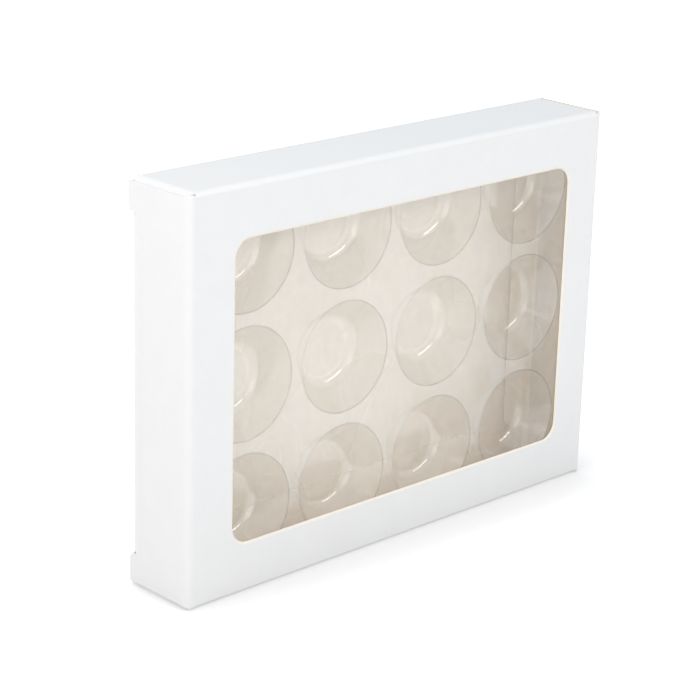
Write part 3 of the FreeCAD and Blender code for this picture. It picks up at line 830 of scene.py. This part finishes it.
def studio_world(level, colour):
    """An even sky that gives soft light and shows as white."""
    world = bpy.data.worlds.new("studio")
    bpy.context.scene.world = world
    world.use_nodes = True
    tree = world.node_tree
    sky = tree.nodes["Background"]
    sky.inputs["Color"].default_value = (*colour, 1)
    tree.links.new(white_to_camera(tree, level), sky.inputs["Strength"])


def contact_shadow(tree):
    """A painted shadow: a share of light, from how open the floor is round a spot, that falls towards the
    object's foot.
    """
    contact = tree.nodes.new("ShaderNodeAmbientOcclusion")
    contact.samples = CONTACT_SAMPLES
    contact.inputs["Distance"].default_value = CONTACT_REACH
    lean = tree.nodes.new("ShaderNodeCombineXYZ")
    for socket, value in zip(lean.inputs, CONTACT_LEAN):
        socket.default_value = value
    tree.links.new(lean.outputs["Vector"], contact.inputs["Normal"])
    return map_range(tree, contact.outputs["AO"], CONTACT_RANGE, (CONTACT_SHADE, 1))


def studio_floor():
    """A pale floor, which shows as white except in the soft shadow around the object's foot, partly cast by
    the lamps and partly painted into its colour and glow.
    """
    mesh = bpy.data.meshes.new("floor")
    corners = rectangle((-FLOOR_SIZE, -FLOOR_SIZE), (FLOOR_SIZE, FLOOR_SIZE))
    mesh.from_pydata([(x, y, -FLOOR_DROP) for x, y in corners], [], [(0, 1, 2, 3)])
    floor = add_object("floor", mesh)
    material, tree, output, where = new_material("floor_paper")
    shadow = contact_shadow(tree)
    paper = tree.nodes.new("ShaderNodeBsdfDiffuse")
    grain = noise(tree, where, FLOOR_GRAIN, GRAIN_DETAIL)
    colour = tint(tree, grain, [c - FLOOR_TONE for c in FLOOR_COLOUR], FLOOR_COLOUR)
    # Painted shadow: the paper's colour darkens towards the object's foot
    darker = tree.nodes.new("ShaderNodeVectorMath")
    darker.operation = "SCALE"
    tree.links.new(colour, darker.inputs["Vector"])
    tree.links.new(shadow, darker.inputs["Scale"])
    tree.links.new(darker.outputs["Vector"], paper.inputs["Color"])
    reach = tree.nodes.new("ShaderNodeVectorMath")
    reach.operation = "LENGTH"
    tree.links.new(where, reach.inputs["Vector"])
    glow = map_range(tree, reach.outputs["Value"], FLOOR_FADE, FLOOR_GLOW, smooth=True)
    shown = math_node(tree, "MULTIPLY", white_to_camera(tree, 0), glow)
    lift = tree.nodes.new("ShaderNodeEmission")
    # The glow that shows the floor as white darkens by the same painted shadow
    tree.links.new(math_node(tree, "MULTIPLY", shown, shadow), lift.inputs["Strength"])
    both = tree.nodes.new("ShaderNodeAddShader")
    tree.links.new(paper.outputs["BSDF"], both.inputs[0])
    tree.links.new(lift.outputs["Emission"], both.inputs[1])
    tree.links.new(both.outputs["Shader"], output.inputs["Surface"])
    mesh.materials.append(material)


def area_lamp(name, size, power, colour):
    """A rectangular lamp, for its caller to place."""
    lamp = bpy.data.lights.new(name, "AREA")
    lamp.shape = "RECTANGLE"
    lamp.size, lamp.size_y = size
    lamp.energy = power
    lamp.color = colour
    return add_object(name, lamp)


def softbox(name, direction, distance, size, power, colour=WHITE):
    """A lamp that looks at the middle of the carton."""
    holder = area_lamp(name, size, power, colour)
    towards = Vector(direction).normalized()
    holder.location = (CAD_LOW + CAD_HIGH) / 2 + towards * distance
    holder.rotation_euler = towards.to_track_quat("Z", "Y").to_euler()


def light_table(name, place, size, turn, power):
    """A flat lamp on the floor that shines upwards, which the film and the tray mirror."""
    holder = area_lamp(name, size, power, WHITE)
    holder.location = place
    holder.rotation_euler = (math.pi, 0, turn)


def photo_camera():
    """The camera of the photograph."""
    back = Vector((
        math.sin(CAMERA_AZIMUTH) * math.cos(CAMERA_ELEVATION),
        -math.cos(CAMERA_AZIMUTH) * math.cos(CAMERA_ELEVATION),
        math.sin(CAMERA_ELEVATION),
    ))
    right = Vector((0, 0, 1)).cross(back).normalized()
    up = back.cross(right)
    turned_right = math.cos(CAMERA_ROLL) * right + math.sin(CAMERA_ROLL) * up
    turned_up = math.cos(CAMERA_ROLL) * up - math.sin(CAMERA_ROLL) * right
    camera = bpy.data.cameras.new("photo_camera")
    camera.lens = CAMERA_LENS
    camera.sensor_width = CAMERA_SENSOR
    camera.clip_start = CAMERA_CLIP
    holder = add_object("photo_camera", camera)
    turn = Matrix((turned_right, turned_up, back)).transposed()
    holder.matrix_world = Matrix.Translation(CAMERA_AT) @ turn.to_4x4()
    bpy.context.scene.camera = holder


studio_world(level=0.65, colour=(0.99, 0.995, 1.0))
studio_floor()
softbox("front_light", direction=(0.3, -0.83, 0.455), distance=1.2, size=(0.8, 0.13), power=2.4)
softbox(
    "left_light", direction=(-0.82, 0.0, 0.55), distance=0.6, size=(0.3, 0.3), power=0.98,
    colour=(1.0, 0.965, 0.97),
)
softbox("corner_light", direction=(-0.52, -0.82, 0.25), distance=0.6, size=(0.4, 0.3), power=0.44)
softbox(
    "top_light", direction=(0.14, 0.2, 0.97), distance=0.8, size=(0.5, 0.5), power=0.5,
    colour=(0.5, 0.83, 1.0),
)
light_table(
    "table_light", place=(0.128, -0.1935, 0.5 * MM), size=(0.34, 0.11), turn=math.radians(-38), power=0.05
)
photo_camera()
bpy.context.scene.view_settings.view_transform = "Standard"
bpy.context.scene.cycles.transparent_max_bounces = CLEAR_LAYERS
bpy.context.scene.cycles.diffuse_bounces = INSIDE_BOUNCES
bpy.context.scene.cycles.max_bounces = 2 * INSIDE_BOUNCES
